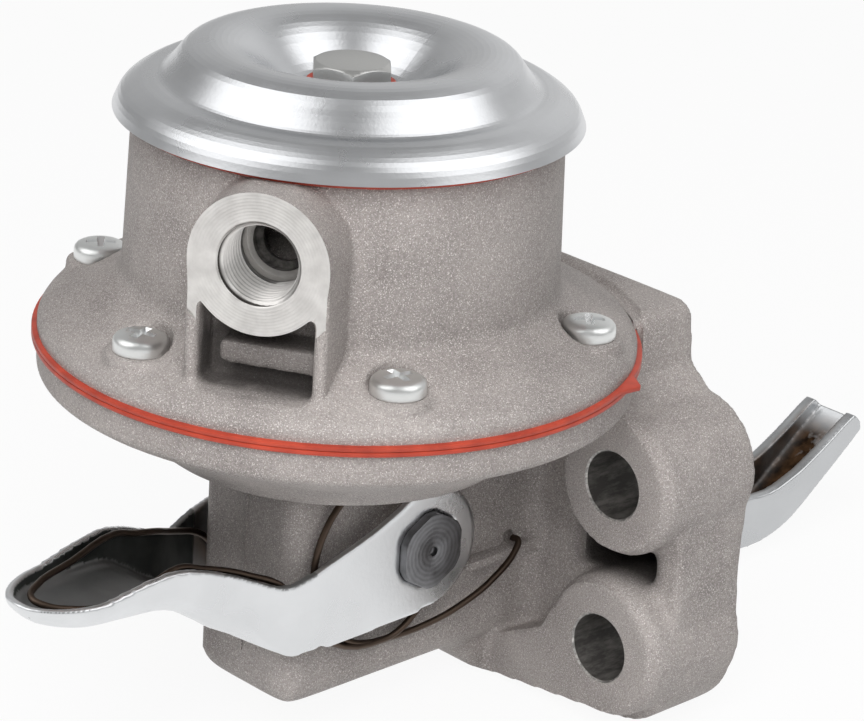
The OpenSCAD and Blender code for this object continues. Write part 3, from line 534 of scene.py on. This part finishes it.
for y, z in HOLES:
    # The stud holes take the dark bored finish, painted shade.
    machine(lower, round_bar(at(BOSS_X - 4, y, z), at(REACH + 2, y, z), HOLE_R), bored)
    machine(lower, round_bar(at(BOSS_X - 0.6, y, z), at(BOSS_X + 0.35, y, z), HOLE_R + 0.9, HOLE_R - 0.1),
            burr)
for s in (-1, 1):
    machine(lower, round_bar(at(SHAFT_X, s * (CAVITY_W - 1), SHAFT_Z), at(SHAFT_X, s * 16, SHAFT_Z),
                             SHAFT_BORE_R), milled)
    machine(lower, round_bar(at(28.5, s * 9.5, -36.6), at(28.5, s * 14, -36.6), 1.0, sides=24), alloy)
machine(lower, block(at(-16.6, -0.3, -46.8), at(-15, 0.3, -12)), alloy, "UNION")
# Painted shade in the pockets between the ears.
paint_shade(lower, shade_between_ears)
crisp(lower)
take_place(lower, "lower_body")


# Rocker
# A channel pressed from steel sheet and zinc plated, its end curled to bear on the cam. It turns on a
# plain pin between two washers, presses the link under it, and is held up by a small coil spring.
def zinc_plate(name, tint, low, high, grain_scale=1600, depth=0.00004):
    """Zinc plate on pressed steel: bright, a little cloudy, with the faint grain of the sheet."""
    material, tree, shader, place = new_material(name)
    cloud = noise(tree, place, 70, 4, 0.55)
    grain = noise(tree, place, grain_scale, 2, 0.6)
    light = tuple(min(1.0, c * 1.16) for c in tint)
    tree.links.new(two_tone(tree, spread(tree, cloud, 0.3, 0.7), tint, light), shader.inputs["Base Color"])
    shader.inputs["Metallic"].default_value = 1.0
    tree.links.new(spread(tree, cloud, 0.3, 0.7, low, high), shader.inputs["Roughness"])
    tree.links.new(bump(tree, grain, depth, 0.5), shader.inputs["Normal"])
    return material


def stained_and_shaded_zinc(name, tint, stain_and_shade_dark, stain_and_shade_light, patch, gloss=(0.24, 0.34)):
    """Zinc plate that darkens where the piece's own stain value says, in blotches: real rust and oil on the
    rocker, painted shade in the lever's nose.
    """
    material = zinc_plate(name, tint, *gloss)
    tree = material.node_tree
    shader = tree.nodes["Principled BSDF"]
    place = next(n for n in tree.nodes if n.type == "TEX_COORD").outputs["Object"]
    stain_and_shade = tree.nodes.new("ShaderNodeAttribute")
    stain_and_shade.attribute_name = "stain_and_shade"
    blotch = spread(tree, noise(tree, place, patch[0], 3, 0.6), patch[1], patch[2])
    amount = combine(tree, "MULTIPLY", stain_and_shade.outputs["Fac"], blotch)
    mottle = spread(tree, noise(tree, place, patch[0] * 1.7, 3), 0.35, 0.65)
    stain_and_shade_colour = two_tone(tree, mottle, stain_and_shade_dark, stain_and_shade_light)
    clean = shader.inputs["Base Color"].links[0].from_socket
    tree.links.new(two_tone(tree, amount, clean, stain_and_shade_colour), shader.inputs["Base Color"])
    gloss_value = shader.inputs["Roughness"].links[0].from_socket
    tree.links.new(combine(tree, "ADD", gloss_value, combine(tree, "MULTIPLY", amount, 0.4)),
                   shader.inputs["Roughness"])
    return material


def mark_stain_and_shade(piece, rule):
    """Writes a value from 0 to 1 for each point of a piece, by its place and the way it faces: rust on the
    rocker, painted shade in the lever's nose.
    """
    value = piece.data.attributes.new("stain_and_shade", "FLOAT", "POINT")
    for point, entry in zip(piece.data.vertices, value.data):
        entry.value = rule(point.co / MM, point.normal)


def dress(node, material):
    """Gives a CAD node its finish."""
    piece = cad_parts[node]
    piece.data.materials.clear()
    piece.data.materials.append(material)
    return piece


def soften(piece, width, degrees=40):
    """Breaks the sharp edges of a turned or pressed piece."""
    pick(piece)
    edge = piece.modifiers.new("edge", "BEVEL")
    edge.width = width * MM
    edge.segments = 2
    edge.limit_method = "ANGLE"
    edge.angle_limit = math.radians(degrees)
    edge.use_clamp_overlap = True
    bpy.ops.object.modifier_apply(modifier="edge")
    crisp(piece, 40)


plate = zinc_plate("zinc_plate", (0.60, 0.63, 0.66), 0.26, 0.36)
dark = zinc_plate("turned_steel", (0.16, 0.16, 0.17), 0.32, 0.44, 1400)
wire = zinc_plate("spring_wire", (0.085, 0.062, 0.048), 0.32, 0.45, 1400)

arm = pattern("rocker_arm", "rocker_arm_pressing")
cast(arm, grain=0.30, passes=3, most=120000)
arm.data.materials.append(stained_and_shaded_zinc("worn_zinc", (0.52, 0.53, 0.54), (0.020, 0.011, 0.006),
                                       (0.12, 0.066, 0.034), (260, 0.10, 0.42)))


def cam_rust(p, n):
    """Oil and rust lie along the middle of the channel's floor and up its far side."""
    if n.z > 0.3:
        return max(0.0, 1 - (p.y / 4.6) ** 4) * min(1.0, max(0.0, (71 - p.x) / 4))
    if n.y < -0.4 and 0 < p.y < 5:
        return 0.9 * min(1.0, max(0.0, (63 - p.x) / 6))
    return 0.0


mark_stain_and_shade(arm, cam_rust)
crisp(arm, 60)
take_place(arm, "rocker_arm", "rocker")
for node in ("rocker_pin", "link_lever", "pivot_washers"):
    dress(node, dark)
dress("pin_retainers", plate)

helper_spring = pattern("rocker_spring", "rocker_spring_coil")
helper_spring.data.materials.append(wire)
crisp(helper_spring, 50)
take_place(helper_spring, "rocker_spring")
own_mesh(helper_spring)


# Priming shaft
# A steel bar turned between centres, with a flatted middle that presses the link and a hexagon at each
# end for the lever. The hexagons' corners are turned off and their faces keep the tool's rings.
def turned_steel_end(name, middle):
    """Dull turned steel, with the tool's rings round the middle of each end."""
    material, tree, shader, place = new_material(name)
    centre = tree.nodes.new("ShaderNodeMapping")
    centre.vector_type = "TEXTURE"
    centre.inputs["Location"].default_value = middle
    tree.links.new(place, centre.inputs["Vector"])
    rings = tree.nodes.new("ShaderNodeTexWave")
    rings.wave_type = "RINGS"
    rings.rings_direction = "Y"
    rings.inputs["Scale"].default_value = 420
    rings.inputs["Distortion"].default_value = 1.6
    rings.inputs["Detail Scale"].default_value = 3
    tree.links.new(centre.outputs[0], rings.inputs["Vector"])
    cloud = noise(tree, place, 500, 3, 0.6)
    tone = combine(tree, "ADD", spread(tree, rings.outputs["Fac"], 0, 1, 0, 0.45),
                   spread(tree, cloud, 0.3, 0.7, 0, 0.55))
    tree.links.new(two_tone(tree, tone, (0.13, 0.13, 0.135), (0.25, 0.25, 0.26)), shader.inputs["Base Color"])
    shader.inputs["Metallic"].default_value = 0.9
    tree.links.new(spread(tree, cloud, 0.3, 0.7, 0.30, 0.44), shader.inputs["Roughness"])
    tree.links.new(bump(tree, rings.outputs["Fac"], 0.00002, 0.5), shader.inputs["Normal"])
    return material


shaft = pattern("priming_shaft", "priming_shaft_turning")
shaft.data.materials.append(turned_steel_end("turned_rings", at(SHAFT_X, 0, SHAFT_Z)))
soften(shaft, 0.35)
take_place(shaft, "priming_shaft", "primer")

# Priming lever
# One pressing of zinc plated sheet: two cheeks on the shaft that run forward, close in and end in a
# dished nose for the thumb. The corner between its floor and its wall is drawn to a soft round.
NOSE = [(-58.6, 2.4), (-57.2, 4.3), (-55.2, 6), (-52.4, 7.4), (-49.5, 8.1), (-45, 8.6), (-38.5, 9.2),
        (-33, 10), (-28, 10.3), (-24.8, 10.9), (-21.3, 12.6), (-18.5, 13.9), (-15, 14.5)]
NOSE_TIP = (-58.9, 0)
NOSE_LOW = [(-60, -28.4), (-55, -29.3), (-50.5, -29.8), (-44, -29.9), (-37.4, -30.4), (-32.8, -32.8),
            (-29, -35.5), (-23, -39.7), (-19.4, -41.9)]
CORNER_R = 3.6
CORNER_END = -20.5
NOSE_DROP = 1.5
NOSE_DROP_RUN = 9
NOSE_DROP_TALL = 6


def smooth_line(points, steps):
    """A smooth curve through points of a drawing, with steps points between each pair."""
    line = []
    for i in range(len(points) - 1):
        p0, p1 = points[max(i - 1, 0)], points[i]
        p2, p3 = points[i + 1], points[min(i + 2, len(points) - 1)]
        for j in range(steps):
            t = j / steps
            line.append(tuple(0.5 * (2 * b + (c - a) * t + (2 * a - 5 * b + 4 * c - d) * t * t
                                     + (3 * b - a - 3 * c + d) * t ** 3)
                              for a, b, c, d in zip(p0, p1, p2, p3)))
    return line + [tuple(points[-1])]


def inward(x, y, line):
    """How far a point lies inside an outline, and which way is straight in from there."""
    best = None
    for (ax, ay), (bx, by) in zip(line, line[1:]):
        ux, uy = bx - ax, by - ay
        t = min(1.0, max(0.0, ((x - ax) * ux + (y - ay) * uy) / (ux * ux + uy * uy)))
        dx, dy = x - ax - ux * t, y - ay - uy * t
        far = dx * dx + dy * dy
        if best is None or far < best[0]:
            size = math.hypot(ux, uy)
            best = (far, uy / size, -ux / size)
    return math.sqrt(best[0]), best[1], best[2]


def height_of(x, line):
    """The height of a drawn line over a place on its length."""
    for (ax, az), (bx, bz) in zip(line, line[1:]):
        if x <= bx:
            return az + (bz - az) * (x - ax) / (bx - ax)
    return line[-1][1]


def draw_corner(piece):
    """Folds the square corner under the nose's wall into a round one of an even thickness."""
    for point in piece.data.vertices:
        x, z = point.co.x / MM + REACH, point.co.z / MM - DROP
        height = z - height_of(x, NOSE_LOW)
        if x < CORNER_END and height < NOSE_DROP_TALL:
            drop = NOSE_DROP * min(1.0, (CORNER_END - x) / NOSE_DROP_RUN)
            drop *= 1 - max(0.0, height) / NOSE_DROP_TALL
            point.co.z -= drop * MM
    half = smooth_line(NOSE, 3)
    near = [(x, -y) for x, y in reversed(half)]
    outline = near + [NOSE_TIP] + half
    under = [(x, z - NOSE_DROP * min(1.0, max(0.0, (CORNER_END - x) / NOSE_DROP_RUN)))
             for x, z in smooth_line(NOSE_LOW, 3)]
    for point in piece.data.vertices:
        x, y, z = point.co.x / MM + REACH, point.co.y / MM, point.co.z / MM - DROP
        radius = CORNER_R * min(1.0, max(0.0, (CORNER_END - x) / 5))
        height = z - height_of(x, under)
        if radius < 0.3 or height > radius:
            continue
        depth, nx, ny = inward(x, y, outline)
        if depth > radius:
            continue
        skin = max(0.0, min(depth, height))
        if radius - skin < 0.2:
            continue
        if depth < height:
            angle = math.pi / 4 * (1 - (height - skin) / (radius - skin))
        else:
            angle = math.pi / 4 * (1 + (depth - skin) / (radius - skin))
        new_depth = radius - (radius - skin) * math.cos(angle)
        new_height = radius - (radius - skin) * math.sin(angle)
        shift = new_depth - depth
        point.co += Vector((nx * shift, ny * shift, new_height - height)) * MM


lever = pattern("priming_lever", "priming_lever_pressing")
cast(lever, grain=0.32, passes=3, most=190000)
draw_corner(lever)
soft = lever.modifiers.new("soft", "SMOOTH")
soft.factor = 0.5
soft.iterations = 3
pick(lever)
bpy.ops.object.modifier_apply(modifier="soft")
# The lever's stain colours are painted shade, dark grey inside the nose.
lever.data.materials.append(stained_and_shaded_zinc("lever_zinc", (0.70, 0.71, 0.72), (0.055, 0.060, 0.057),
                                         (0.120, 0.127, 0.122), (90, -0.6, 0.4)))


def nose_shade(p, n):
    """Painted shade inside the nose: its inner walls painted nearly black, its floor a dull grey."""
    along = p.x + REACH
    if along > -15:
        return 0.0
    if n.z < 0.55 and (n.y * p.y < -0.3 * abs(p.y) or (n.x > 0.5 and along < -50)):
        return 1.0
    return 0.62 if n.z > 0.4 and p.z - DROP < -27.4 else 0.0


mark_stain_and_shade(lever, nose_shade)
crisp(lever, 60)
take_place(lever, "priming_lever", "primer")

# Return spring
# One length of dark spring wire: its ends hook into the housing, it takes a turn round each shaft boss
# and closes in a long loop that lies in the lever's nose and lifts it back down.
WIRE_R = 0.52
TURN = (1.75, -31.6)
TURN_R = 14.9
TURN_RISE = 14.4
HOUSE_W = 10.5
HOOK = [(28.6, 11.2, -36.6), (28.7, 12.4, -36.7), (27.9, 12.8, -37.9), (23.5, 13.1, -41.1), (17, 12.8, -44.0),
        (10.5, 12, -45.8)]
FAR_RUN = [(-9.5, 12.1, -41), (-13, 12, -34.5), (-16.5, 11.6, -31.9), (-19.5, 11, -30.8),
           (-23.4, 9.6, -29.3), (-26.5, 8.4, -28), (-31.4, 7.6, -26.7), (-35.3, 7.2, -25.6),
           (-45, 4.8, -26.4), (-53.5, 2.3, -27.1), (-55.4, 0.5, -27.5)]
NEAR_RUN = [(-9.5, 12.1, -43), (-16.5, 11.9, -34.5), (-19.5, 11.2, -31.1), (-23.4, 9.1, -29.4),
            (-26.5, 8.2, -28.2), (-31.4, 7.4, -26.7), (-35.3, 7.2, -25.6), (-41, 6.9, -27.3), (-47, 6, -28.6),
            (-52.5, 3.8, -28.4), (-55, 1.4, -27.9)]
half = list(HOOK)
for angle in range(-90, -451, -15):
    a = math.radians(angle)
    tight = 1 - 0.13 * math.sin(2 * a) ** 2 if angle < -360 else 1
    half.append((TURN[0] + TURN_R * tight * math.cos(a), HOUSE_W + 1.1 - 0.1 * (angle + 90) / 360,
                 TURN[1] + TURN_RISE * tight * math.sin(a)))
route = half + FAR_RUN + [(x, -y, z) for x, y, z in reversed(half + NEAR_RUN)]
curve = bpy.data.curves.new("return_spring_route", "CURVE")
curve.dimensions = "3D"
curve.bevel_depth = WIRE_R * MM
curve.bevel_resolution = 5
curve.use_fill_caps = True
curve.resolution_u = 4
line = curve.splines.new("BEZIER")
line.bezier_points.add(len(route) - 1)
for knot, (x, y, z) in zip(line.bezier_points, route):
    knot.co = at(x, y, z)
    knot.handle_left_type = "AUTO"
    knot.handle_right_type = "AUTO"
return_spring = bpy.data.objects.new("return_spring_wire", curve)
bpy.context.collection.objects.link(return_spring)
pick(return_spring)
bpy.ops.object.convert(target="MESH")
return_spring = bpy.context.object
return_spring.data.materials.clear()
return_spring.data.materials.append(wire)
crisp(return_spring, 50)
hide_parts("lever_return_spring")
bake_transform(return_spring)


# Pull rod and diaphragm
# A steel rod riveted through two dished plates, which clamp two sheets of red rubberised fabric. The
# sheets' edges show between the two castings, with a dark line where they meet.
def rubber(name, dark_tone, light_tone, gloss=0.45):
    """Moulded rubber: nearly even in colour, with a faint mottle and a soft sheen."""
    material, tree, shader, place = new_material(name)
    cloud = noise(tree, place, 300, 3)
    tree.links.new(two_tone(tree, spread(tree, cloud, 0.3, 0.7), dark_tone, light_tone),
                   shader.inputs["Base Color"])
    shader.inputs["Roughness"].default_value = gloss
    tree.links.new(bump(tree, cloud, 0.00008, 0.5), shader.inputs["Normal"])
    return material


red = rubber("red_rubber", (0.33, 0.035, 0.018), (0.50, 0.062, 0.030))
black = rubber("black_rubber", (0.02, 0.02, 0.02), (0.04, 0.04, 0.04))
for node, name in (("diaphragm", "diaphragm_sheet"), ("diaphragm_backing", "backing_sheet")):
    sheet = pattern(node, name)
    sheet.data.materials.append(red)
    soften(sheet, 0.22)
    take_place(sheet, node)
for node in ("upper_plate", "lower_plate", "seal_retainer"):
    dress(node, plate)
dress("pull_rod", dark)
dress("rod_seal", black)
for node in ("diaphragm_spring", "inlet_valve_spring", "outlet_valve_spring"):
    dress(node, wire)

# Upper body
# The second casting: a barrel on a sloping flange, with a boss, a cored pocket and a bar under each
# port. Each port is tapped, relieved behind the thread, bored through and last of all spot-faced.
PORTS = (("inlet", 210), ("outlet", 34))
PORT_H = 23.5
PORT_FACE = 38.85
THREAD_R = 6.0
THREAD_PITCH = 1.0
THREAD_TURNS = 9
THREAD_DEEP = 0.72


def port_point(angle, along, side=0.0, rise=0.0):
    """A point by a port: so far from the pump's axis, to one side of the port's axis and above it."""
    a = math.radians(angle)
    return at(along * math.cos(a) - side * math.sin(a), along * math.sin(a) + side * math.cos(a),
              PORT_H + rise)


def cut_thread(body, angle, finish):
    """Adds the ridge of a thread to a port's wall: one tooth, screwed along the bore."""
    tooth = bpy.data.meshes.new("thread")
    root, crest = THREAD_R + 0.08, THREAD_R - THREAD_DEEP
    tooth.from_pydata([(root, 0, -0.46), (root, 0, 0.46), (crest, 0, 0)], [], [(0, 1, 2)])
    thread = bpy.data.objects.new("thread", tooth)
    for corner in tooth.vertices:
        corner.co *= MM
    bpy.context.collection.objects.link(thread)
    pick(thread)
    bpy.ops.object.mode_set(mode="EDIT")
    bpy.ops.mesh.select_all(action="SELECT")
    bpy.ops.mesh.delete(type="ONLY_FACE")
    bpy.ops.object.mode_set(mode="OBJECT")
    screw = thread.modifiers.new("screw", "SCREW")
    screw.axis = "Z"
    screw.screw_offset = THREAD_PITCH * MM
    screw.iterations = THREAD_TURNS
    screw.steps = 40
    screw.render_steps = 40
    bpy.ops.object.modifier_apply(modifier="screw")
    bpy.ops.object.mode_set(mode="EDIT")
    bpy.ops.mesh.select_all(action="SELECT")
    bpy.ops.mesh.remove_doubles(threshold=MM * 0.001)
    bpy.ops.mesh.fill_holes(sides=4)
    bpy.ops.mesh.select_all(action="SELECT")
    bpy.ops.mesh.normals_make_consistent(inside=False)
    bpy.ops.object.mode_set(mode="OBJECT")
    thread.location = port_point(angle, 30.2)
    thread.rotation_euler = Euler((0, math.pi / 2, math.radians(angle)))
    machine(body, settle(thread), finish, "UNION")


def shade_under_port(p):
    """Painted shade in the cored pocket under each port: dark at its back and foot, lighter on the bar across
    it, where the light reaches.
    """
    depth = 0.0
    for name, angle in PORTS:
        a = math.radians(angle)
        along = p.x * math.cos(a) + p.y * math.sin(a)
        side = abs(p.y * math.cos(a) - p.x * math.sin(a))
        rise = p.z - PORT_H
        if along > 28 and side < 8.7 and -19.6 < rise < -6.4:
            most = 0.25 if -11.5 < rise < -7.7 else 0.82
            depth = max(depth, most * min(1.0, max(0.0, (38.4 - along) / 2)))
    return depth


upper = pattern("upper_body", "upper_body_casting")
upper.data.materials.append(alloy)
plugs = [lathe([(35, -1.5), (FLANGE_R, -1.5), (FLANGE_R, 2), (35, 2)], at(0, 0, 0), "rim")]
for name, angle in PORTS:
    plugs.append(round_bar(port_point(angle, 27), port_point(angle, 38.2), 6.8))
    plugs.append(round_bar(port_point(angle, 36), port_point(angle, 40.2), 10.2))
    for s in (-1, 1):
        for along, foot in ((37.4, -20.5), (38.2, -20)):
            plugs.append(round_bar(port_point(angle, along, s * 9.25, -1),
                                   port_point(angle, along, s * 9.25, foot), 1.0))
weld_on(upper, plugs)
cast(upper, grain=0.5, passes=3)
machine(upper, block(at(-60, -60, -3), at(60, 60, SHEET_T)), milled)
for name, angle in PORTS:
    faced = turned_alloy(name + "_face", port_point(angle, 38), math.radians(angle))
    tapped = turned_alloy(name + "_thread", port_point(angle, 38), math.radians(angle),
                          THREAD_R - THREAD_DEEP)
    machine(upper, round_bar(port_point(angle, 30.2), port_point(angle, 42), THREAD_R), tapped)
    machine(upper, round_bar(port_point(angle, 28.6), port_point(angle, 31), THREAD_R - 0.8), faced)
    # The bores behind the thread take the dark bored finish, painted shade.
    machine(upper, round_bar(port_point(angle, 27.3), port_point(angle, 30), 4.25), bored)
    machine(upper, round_bar(port_point(angle, 24.5), port_point(angle, 29), 3.25), bored)
    cut_thread(upper, angle, tapped)
    machine(upper, round_bar(port_point(angle, PORT_FACE), port_point(angle, 43), 12.6, sides=128), faced)
    machine(upper, round_bar(port_point(angle, 38.1), port_point(angle, 39.4), THREAD_R - 0.65,
                             THREAD_R + 0.75), faced)
# Painted shade in the cored pockets under the ports.
paint_shade(upper, shade_under_port)
crisp(upper)
take_place(upper, "upper_body")

# Valves
# Two like units pressed into the upper body, one turned over: a brass seat, a thin black disc that lifts
# off it, a light spring and a pierced brass cage.
brass = zinc_plate("brass", (0.62, 0.45, 0.22), 0.3, 0.4, 1400)
for node in ("inlet_valve_seat", "outlet_valve_seat", "inlet_valve_cage", "outlet_valve_cage"):
    dress(node, brass)
for node in ("inlet_valve_disc", "outlet_valve_disc"):
    dress(node, black)

# Flange screws
# Six zinc plated pan head screws with a cross recess, their heads satin, set down on the spot faces
# round the flange. They hold the two castings and the sheets between them together.
SCREW_CIRCLE = 37.5
SEAT = 5.8
HEAD = [(0, 8.5), (1.2, 8.48), (2.3, 8.38), (3.1, 8.2), (3.6, 7.95), (3.88, 7.6), (3.97, 7.2), (4.0, 6.7),
        (3.98, 5.95), (3.85, SEAT), (2, SEAT), (2, -5), (0, -5)]
screw_zinc = zinc_plate("screw_zinc", (0.74, 0.75, 0.74), 0.30, 0.42, 1800, 0.00006)
# The recess is painted a little lighter than the head, as a painted highlight in the cross.
recess = zinc_plate("screw_recess_painted_light", (0.80, 0.81, 0.81), 0.22, 0.34, 1800, 0.00006)
heads = []
for k in range(6):
    a = math.radians(60 * k)
    middle = at(SCREW_CIRCLE * math.cos(a), SCREW_CIRCLE * math.sin(a), 0)
    head = lathe(HEAD, middle, "screw")
    head.data.materials.append(screw_zinc)
    for turn in (20, 110):
        bpy.ops.object.select_all(action="DESELECT")
        bpy.ops.mesh.primitive_cone_add(vertices=4, radius1=1.5 * MM, radius2=3.5 * MM, depth=1.7 * MM)
        slot = bpy.context.object
        slot.rotation_euler = (0, 0, math.pi / 4)
        settle(slot)
        slot.scale = (1, 0.26, 1)
        slot.rotation_euler = (0, 0, math.radians(60 * k + turn))
        slot.location = middle + Vector((0, 0, 7.85 * MM))
        machine(head, settle(slot), recess)
    heads.append(head)
screws = heads[0]
screws.name = "flange_screws_plated"
weld_on(screws, heads[1:])
crisp(screws, 36)
take_place(screws, "flange_screws")

# Strainer, gasket and cover
# A pierced brass disc lies over the fuel well. The cover is pressed from sheet and zinc plated to a
# satin finish, and it sits on a red gasket.
dress("strainer", brass)
dress("cover_gasket", red)
dress("cover", zinc_plate("satin_zinc", (0.66, 0.67, 0.685), 0.25, 0.33, 2200, 0.00003))

# Cover bolt
# A plated hexagon bolt with turned chamfers draws the cover down through a red sealing washer.
bolt = pattern("cover_bolt", "cover_bolt_plated")
bolt.data.materials.append(zinc_plate("bolt_zinc", (0.60, 0.60, 0.585), 0.28, 0.42, 1200, 0.00006))
soften(bolt, 0.16, 28)
take_place(bolt, "cover_bolt")
dress("bolt_seal_washer", red)
